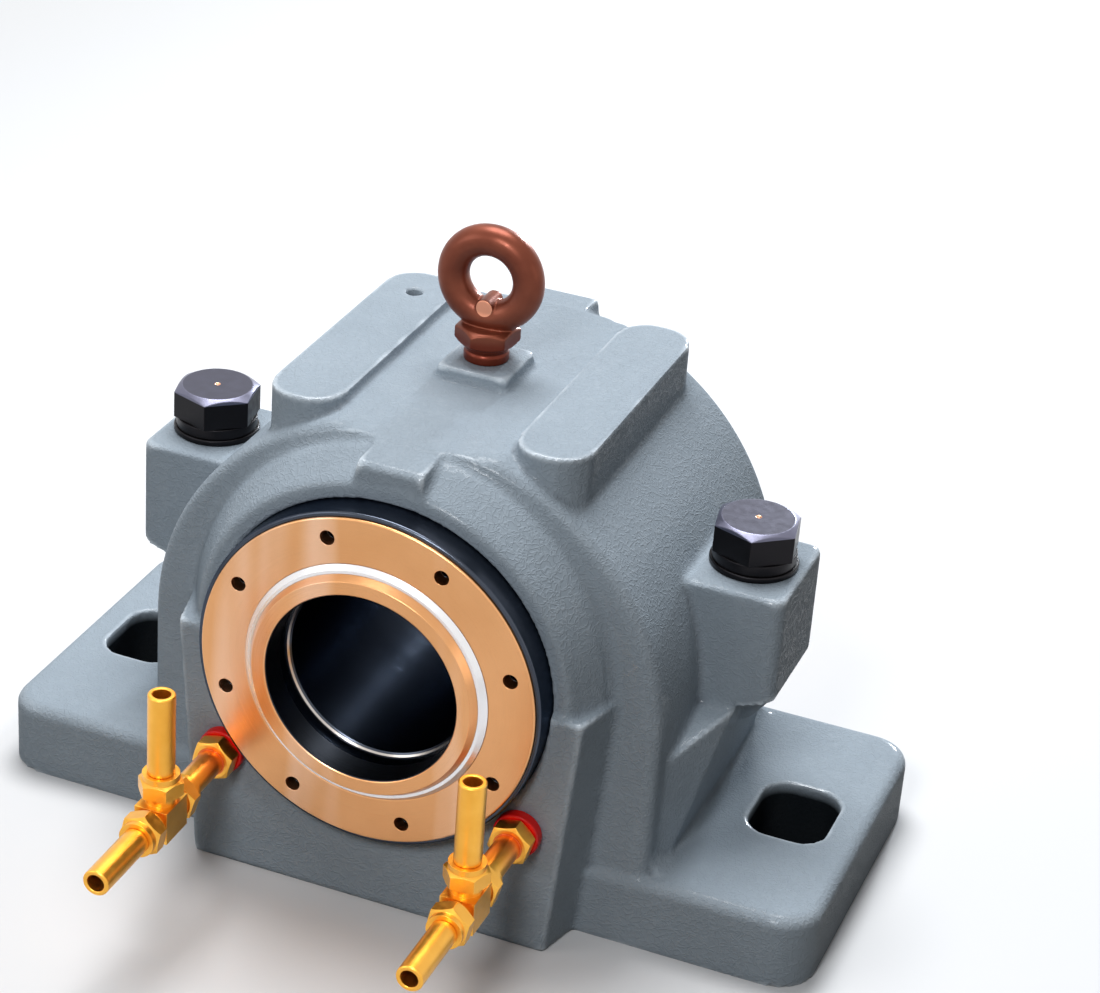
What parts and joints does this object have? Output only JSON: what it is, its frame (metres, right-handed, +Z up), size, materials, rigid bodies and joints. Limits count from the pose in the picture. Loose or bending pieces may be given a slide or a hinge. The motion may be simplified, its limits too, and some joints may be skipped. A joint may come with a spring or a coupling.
{
  "type": "split plummer block",
  "caption": "Split plummer block with a bolted cap, an eye bolt, a spherical roller bearing on a hollow quill, bronze seal covers and oil pipe fittings.",
  "frame": {"origin": "centre of the base on the foot face, below the middle of the shaft bore", "axes": "+Y along the shaft from the front end with the oil fittings to the rear, +X across to the right, +Z up from the feet"},
  "size_m": [0.56, 0.489, 0.407],
  "materials": {
    "paint": "satin, cast",
    "blackened": "black oxide, satin",
    "black_gloss": "blackened, gloss",
    "steel": "ground",
    "bronze": "turned",
    "white_seal": "matt",
    "eye_paint": "satin",
    "brass": "machined",
    "red_washer": "satin"
  },
  "bodies": {
    "housing": {"housing_base": "paint", "housing_cap": "paint", "left_cap_bolt": "blackened", "right_cap_bolt": "blackened", "left_bolt_spring_washer": "blackened", "right_bolt_spring_washer": "blackened", "left_bolt_washer": "blackened", "right_bolt_washer": "blackened", "dowel_pins": "steel", "eye_bolt": "eye_paint", "front_cover_plate": "bronze", "front_seal_carrier": "black_gloss", "front_seal_ring": "white_seal", "rear_cover_plate": "bronze", "rear_seal_carrier": "black_gloss", "rear_seal_ring": "white_seal", "bearing_outer_ring": "steel", "front_locating_ring": "steel", "rear_locating_ring": "steel", "left_port_washer": "red_washer", "left_port_nipple": "brass", "left_feed_nut": "brass", "left_tee": "brass", "left_front_nut": "brass", "left_front_tube": "brass", "left_top_nut": "brass", "left_top_tube": "brass", "right_port_washer": "red_washer", "right_port_nipple": "brass", "right_feed_nut": "brass", "right_tee": "brass", "right_front_nut": "brass", "right_front_tube": "brass", "right_top_nut": "brass", "right_top_tube": "brass"},
    "rotor": {"bore_quill": "black_gloss", "lock_nut": "steel", "lock_washer": "steel", "bearing_inner_ring": "steel", "front_shaft_ring": "bronze", "rear_shaft_ring": "bronze", "front_spacer": "black_gloss", "rear_spacer": "black_gloss"},
    "roller_set": {"roller_cage": "brass", "front_rollers": "steel", "rear_rollers": "steel"}
  },
  "joints": [
    {"name": "shaft_spin", "type": "hinge", "parent": "housing", "child": "rotor", "pos_m": [0, 0, 0.17], "axis": [0, 1, 0], "continuous": true},
    {"name": "roller_set_spin", "type": "hinge", "parent": "housing", "child": "roller_set", "pos_m": [0, 0, 0.17], "axis": [0, 1, 0], "continuous": true}
  ],
  "couplings": [
    {"joint": "roller_set_spin", "follows": "shaft_spin", "ratio": 0.42}
  ]
}
